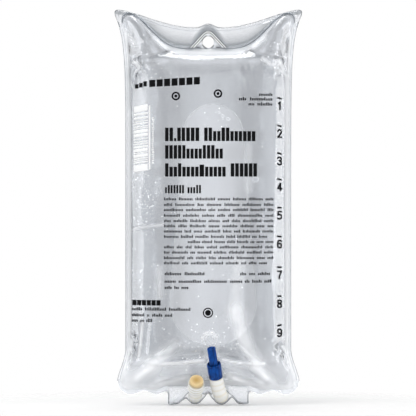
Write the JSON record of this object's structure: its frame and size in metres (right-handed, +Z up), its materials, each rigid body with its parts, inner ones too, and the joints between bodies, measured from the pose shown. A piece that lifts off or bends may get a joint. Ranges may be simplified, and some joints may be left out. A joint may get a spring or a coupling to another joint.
{
  "type": "infusion fluid bag",
  "caption": "Filled clear infusion bag with a hanger hole and volume scale, a stoppered injection port and an outlet port under a pull-off protector, both folded up in front.",
  "frame": {"origin": "centre of the hanger hole, in the plane of the welds", "axes": "+Z up along the hanging bag, -Y out of the printed front, +X to the right as seen from the front"},
  "size_m": [0.149, 0.058, 0.3152],
  "materials": {
    "clear_film": "clear flexible plasticised film, glossy, with printed marks on the front sheet",
    "clear_liquid": "clear colourless liquid",
    "port_plastic": "translucent cream flexible tube, satin",
    "sleeve_plastic": "milky shrunk sleeve with fine beads",
    "tan_rubber": "tan natural rubber, satin",
    "blue_plastic": "blue moulded plastic, semi-gloss"
  },
  "bodies": {
    "bag": {"front_film": "clear_film", "back_film": "clear_film", "fluid": "clear_liquid", "injection_port_tube": "port_plastic", "injection_membrane_tube": "port_plastic", "injection_sleeve": "sleeve_plastic", "injection_stopper": "tan_rubber", "outlet_port_tube": "port_plastic", "outlet_membrane_tube": "port_plastic"},
    "protector": {"outlet_protector": "blue_plastic"}
  },
  "joints": [
    {"name": "protector_pull", "type": "slide", "parent": "bag", "child": "protector", "axis": [-0.1392, -0.4321, 0.891], "range_m": [0, 0.03]}
  ]
}
